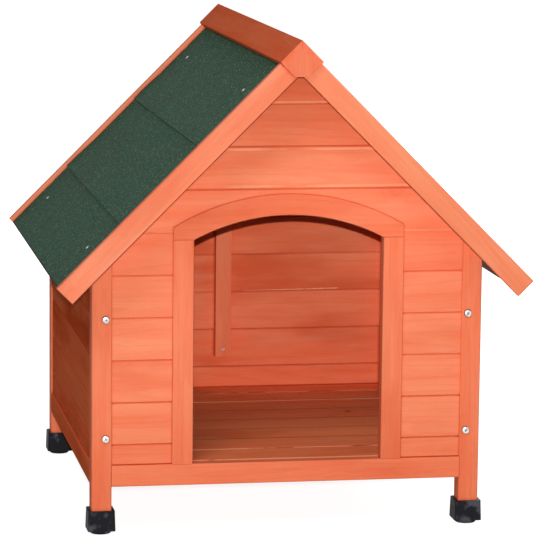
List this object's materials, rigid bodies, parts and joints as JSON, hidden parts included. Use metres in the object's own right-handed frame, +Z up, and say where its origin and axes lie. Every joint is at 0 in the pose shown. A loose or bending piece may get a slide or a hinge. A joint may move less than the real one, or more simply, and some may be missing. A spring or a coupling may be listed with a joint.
{
  "type": "dog house",
  "caption": "Raised timber dog house with an arched doorway, board walls, a felted saddle roof with bargeboards and screw-adjustable plastic feet.",
  "frame": {"origin": "on the ground, in the middle of the house's width and length", "axes": "+X to the right seen from the front, +Y from the doorway to the back, +Z up"},
  "size_m": [0.71, 0.778, 0.7431],
  "materials": {
    "stained_timber": "salmon red translucent stain on planed softwood",
    "mineral_felt": "dark green mineral granules on bitumen felt",
    "black_plastic": "matt moulded",
    "zinc_steel": "bright zinc plated"
  },
  "bodies": {
    "house": {"back_boards": "stained_timber", "back_wall_batten": "stained_timber", "bargeboard_back_left": "stained_timber", "bargeboard_back_right": "stained_timber", "bargeboard_front_left": "stained_timber", "bargeboard_front_right": "stained_timber", "bolts_back": "zinc_steel", "bolts_front": "zinc_steel", "door_header": "stained_timber", "door_stile_left": "stained_timber", "door_stile_right": "stained_timber", "felt_lower_left": "mineral_felt", "felt_lower_right": "mineral_felt", "felt_middle_left": "mineral_felt", "felt_middle_right": "mineral_felt", "felt_upper_left": "mineral_felt", "felt_upper_right": "mineral_felt", "floor_bearer": "stained_timber", "floor_boards": "stained_timber", "floor_ledge_left": "stained_timber", "floor_ledge_right": "stained_timber", "front_boards_gable": "stained_timber", "front_boards_left": "stained_timber", "front_boards_right": "stained_timber", "gable_rafter_back_left": "stained_timber", "gable_rafter_back_right": "stained_timber", "gable_rafter_front_left": "stained_timber", "gable_rafter_front_right": "stained_timber", "leg_cap_back_left": "black_plastic", "leg_cap_back_right": "black_plastic", "leg_cap_front_left": "black_plastic", "leg_cap_front_right": "black_plastic", "post_back_left": "stained_timber", "post_back_right": "stained_timber", "post_front_left": "stained_timber", "post_front_right": "stained_timber", "rail_back": "stained_timber", "rail_front": "stained_timber", "rail_left": "stained_timber", "rail_right": "stained_timber", "ridge_board_left": "stained_timber", "ridge_board_right": "stained_timber", "ridge_end_back": "stained_timber", "ridge_end_front": "stained_timber", "roof_boards_left": "stained_timber", "roof_boards_right": "stained_timber", "roof_screws": "zinc_steel", "side_boards_left": "stained_timber", "side_boards_right": "stained_timber", "wall_batten_back_left": "stained_timber", "wall_batten_back_right": "stained_timber", "wall_batten_front_left": "stained_timber", "wall_batten_front_right": "stained_timber"},
    "foot_front_left": {"foot_disc_front_left": "black_plastic"},
    "foot_front_right": {"foot_disc_front_right": "black_plastic"},
    "foot_back_left": {"foot_disc_back_left": "black_plastic"},
    "foot_back_right": {"foot_disc_back_right": "black_plastic"}
  },
  "joints": [
    {"name": "foot_front_left_slide", "type": "slide", "parent": "house", "child": "foot_front_left", "axis": [0, 0, 1], "range_m": [-0.02, 0]},
    {"name": "foot_front_right_slide", "type": "slide", "parent": "house", "child": "foot_front_right", "axis": [0, 0, 1], "range_m": [-0.02, 0]},
    {"name": "foot_back_left_slide", "type": "slide", "parent": "house", "child": "foot_back_left", "axis": [0, 0, 1], "range_m": [-0.02, 0]},
    {"name": "foot_back_right_slide", "type": "slide", "parent": "house", "child": "foot_back_right", "axis": [0, 0, 1], "range_m": [-0.02, 0]}
  ]
}
